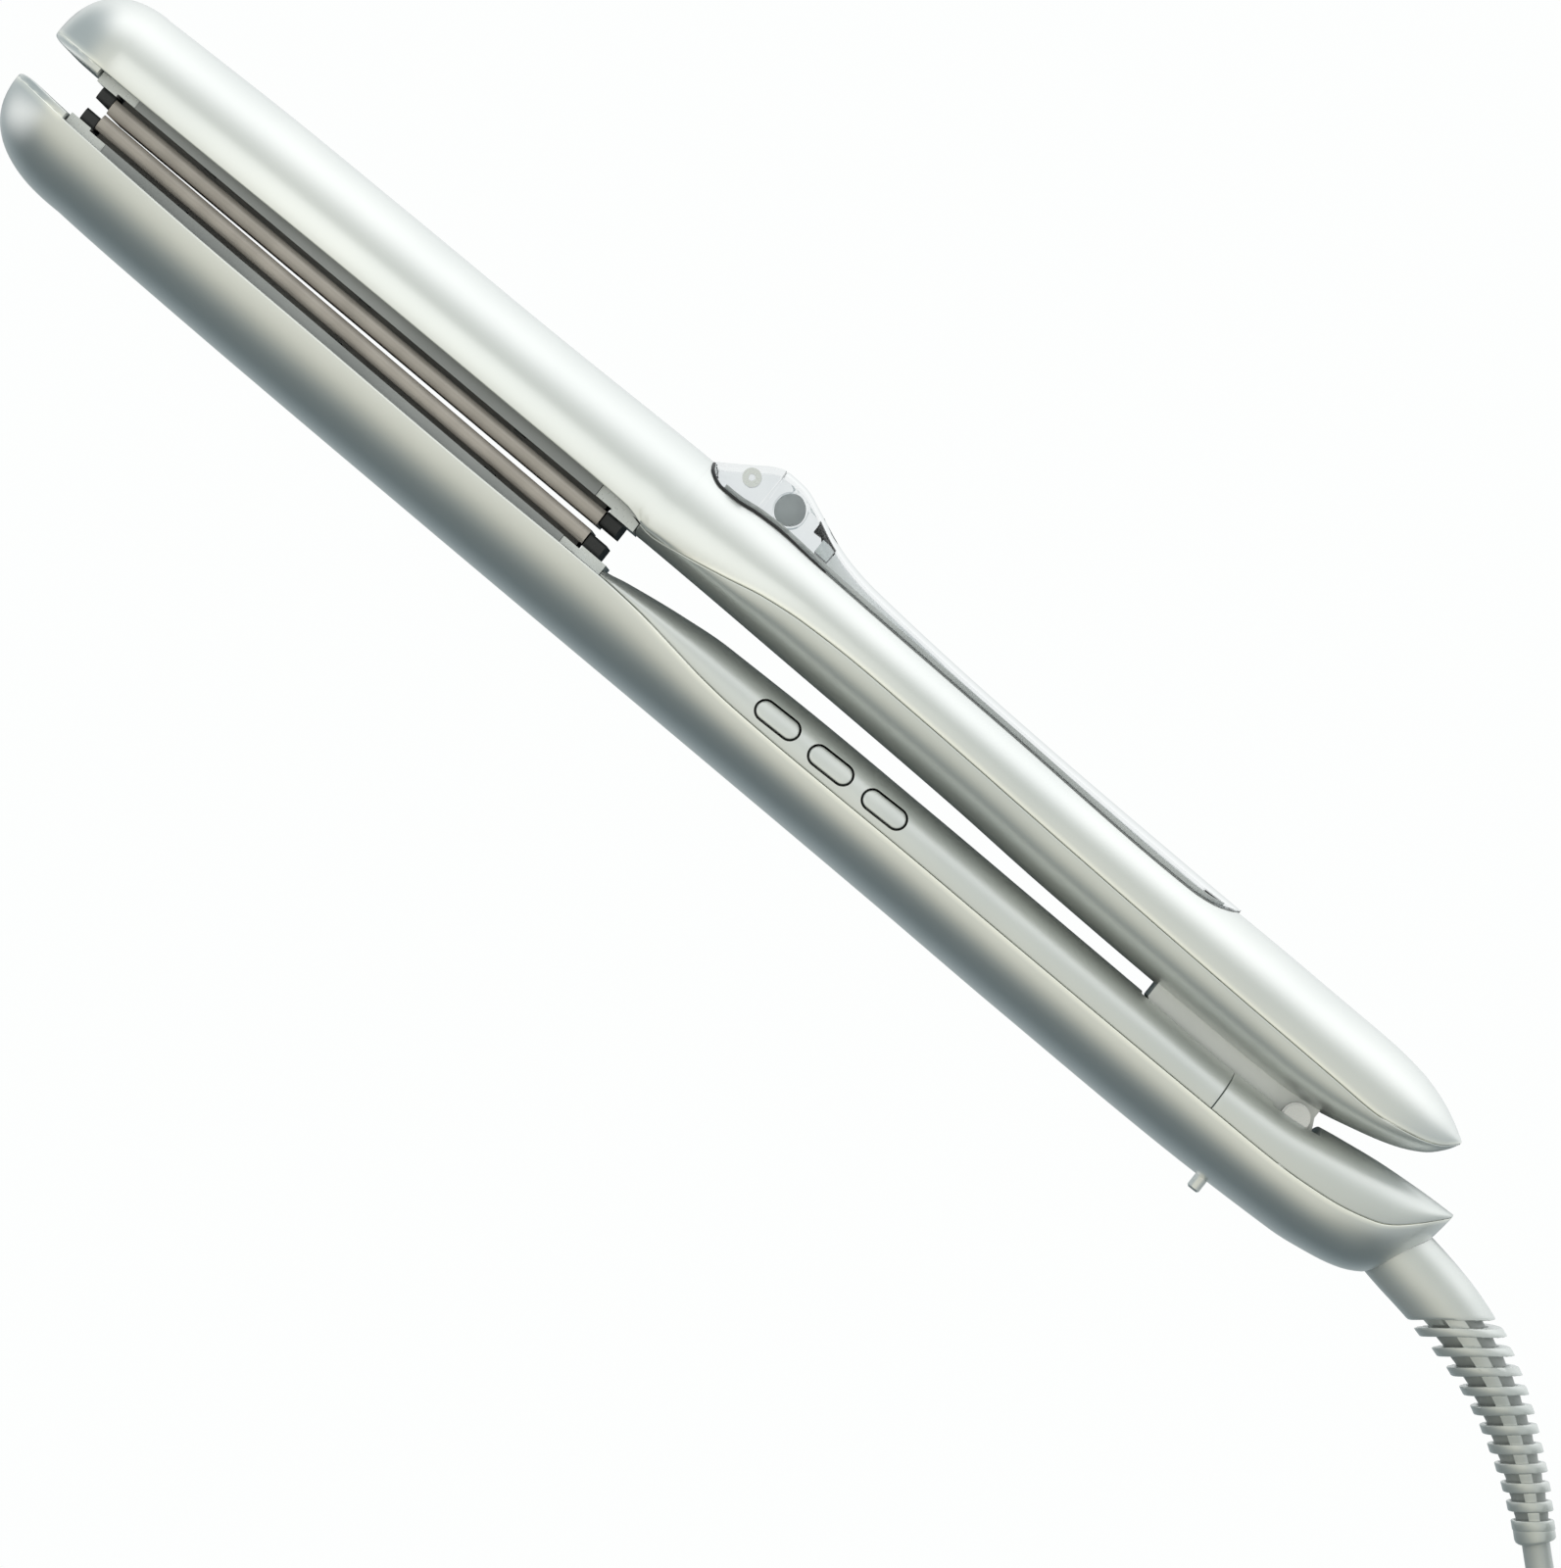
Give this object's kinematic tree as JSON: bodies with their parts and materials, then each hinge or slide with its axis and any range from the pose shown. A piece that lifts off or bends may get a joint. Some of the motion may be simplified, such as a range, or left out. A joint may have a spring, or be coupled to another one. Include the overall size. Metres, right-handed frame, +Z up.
{
  "type": "steam hair straightener",
  "caption": "Steam hair straightener with two hinged arms, floating plates, side buttons, a removable clear water tank and a swivelling ribbed cord relief.",
  "frame": {"origin": "middle of the object's box, without its cord, on the surface that it lies on", "axes": "+X along the arms towards the hinge and cord, +Y from the lower arm to the upper arm, +Z up out of the side that faces up; the arms open about Z"},
  "size_m": [0.5378, 0.1012, 0.034],
  "materials": {
    "pearl_shell": "pearl silver-white gloss with a faint green tone",
    "pearl_cover": "pearl silver with a champagne tone",
    "button_cap": "satin pearl silver",
    "light_plastic": "smooth light grey",
    "dark_carrier": "fine matt dark grey",
    "ceramic_plate": "satin taupe ceramic coating",
    "heater_ceramic": "matt white ceramic",
    "black_rubber": "matt black",
    "clear_tank": "clear, polished",
    "hinge_steel": "zinc-plated, satin",
    "bush_brass": "plain turned",
    "chamber_metal": "die cast, matt",
    "silicone_tube": "milky silicone",
    "board_green": "solder-masked laminate",
    "relief_grey": "satin light grey",
    "cord_grey": "satin light grey",
    "tie_black": "woven hook-and-loop"
  },
  "bodies": {
    "lower_arm": {"lower_outer_shell": "pearl_shell", "lower_inner_cover": "pearl_cover", "lower_tail_cover": "pearl_cover", "lower_plate_carrier": "dark_carrier", "lower_plate_stops": "black_rubber", "lower_end_pads": "black_rubber", "lower_front_cap": "light_plastic", "lower_rear_cap": "light_plastic", "control_board": "board_green", "button_switches": "dark_carrier", "terminal_block": "light_plastic", "hinge_bracket": "hinge_steel", "hinge_pin": "hinge_steel", "hinge_spring": "hinge_steel", "bracket_screws": "hinge_steel", "swivel_housing": "light_plastic"},
    "lower_plate": {"lower_plate": "ceramic_plate", "lower_heater": "heater_ceramic"},
    "upper_arm": {"upper_outer_shell": "pearl_shell", "upper_inner_cover": "pearl_cover", "upper_plate_carrier": "dark_carrier", "upper_plate_stops": "black_rubber", "upper_end_pads": "black_rubber", "upper_front_cap": "light_plastic", "upper_rear_cap": "light_plastic", "hinge_neck": "pearl_cover", "hinge_bushes": "bush_brass", "neck_screws": "hinge_steel", "tank_tray": "light_plastic", "outlet_spigot": "light_plastic", "tank_latch": "light_plastic", "pump": "dark_carrier", "feed_tube": "silicone_tube", "steam_chamber": "chamber_metal"},
    "upper_plate": {"upper_plate": "ceramic_plate", "upper_heater": "heater_ceramic"},
    "water_tank": {"tank_body": "clear_tank", "tank_front_cap": "clear_tank", "tank_valve": "dark_carrier", "tank_clip": "dark_carrier", "tank_divider": "light_plastic", "vent_boss": "light_plastic"},
    "filler_plug": {"filler_plug": "clear_tank"},
    "power_button": {"power_button": "button_cap"},
    "mode_button": {"mode_button": "button_cap"},
    "heat_button": {"heat_button": "button_cap"},
    "lock_pin": {"lock_pin": "light_plastic"},
    "cord_swivel": {"swivel_core": "light_plastic", "strain_relief": "relief_grey", "cord_run": "cord_grey", "cord_coil": "cord_grey", "cord_tail": "cord_grey", "cord_tie": "tie_black", "plug_body": "cord_grey", "plug_pins": "hinge_steel"}
  },
  "joints": [
    {"name": "arms_hinge", "type": "hinge", "parent": "lower_arm", "child": "upper_arm", "pos_m": [0.127, -0.00635, 0.017], "axis": [0, 0, -1], "range_deg": [0, 10]},
    {"name": "lower_plate_float", "type": "slide", "parent": "lower_arm", "child": "lower_plate", "axis": [0, -1, 0], "range_m": [0, 0.0006], "stiffness_N_per_m": 4000},
    {"name": "upper_plate_float", "type": "slide", "parent": "upper_arm", "child": "upper_plate", "axis": [0, 1, 0], "range_m": [0, 0.0006], "stiffness_N_per_m": 4000},
    {"name": "tank_lift", "type": "slide", "parent": "upper_arm", "child": "water_tank", "axis": [0, 1, 0], "range_m": [0, 0.02]},
    {"name": "filler_pull", "type": "slide", "parent": "water_tank", "child": "filler_plug", "axis": [0, 0, -1], "range_m": [0, 0.005]},
    {"name": "power_press", "type": "slide", "parent": "lower_arm", "child": "power_button", "axis": [0, 0, -1], "range_m": [0, 0.0005], "stiffness_N_per_m": 400},
    {"name": "mode_press", "type": "slide", "parent": "lower_arm", "child": "mode_button", "axis": [0, 0, -1], "range_m": [0, 0.0005], "stiffness_N_per_m": 400},
    {"name": "heat_press", "type": "slide", "parent": "lower_arm", "child": "heat_button", "axis": [0, 0, -1], "range_m": [0, 0.0005], "stiffness_N_per_m": 400},
    {"name": "lock_push", "type": "slide", "parent": "lower_arm", "child": "lock_pin", "axis": [0, 1, 0], "range_m": [0, 0.0016]},
    {"name": "cord_turn", "type": "hinge", "parent": "lower_arm", "child": "cord_swivel", "pos_m": [0.1576, -0.0141, 0.017], "axis": [0.9903, -0.1392, 0], "continuous": true}
  ]
}
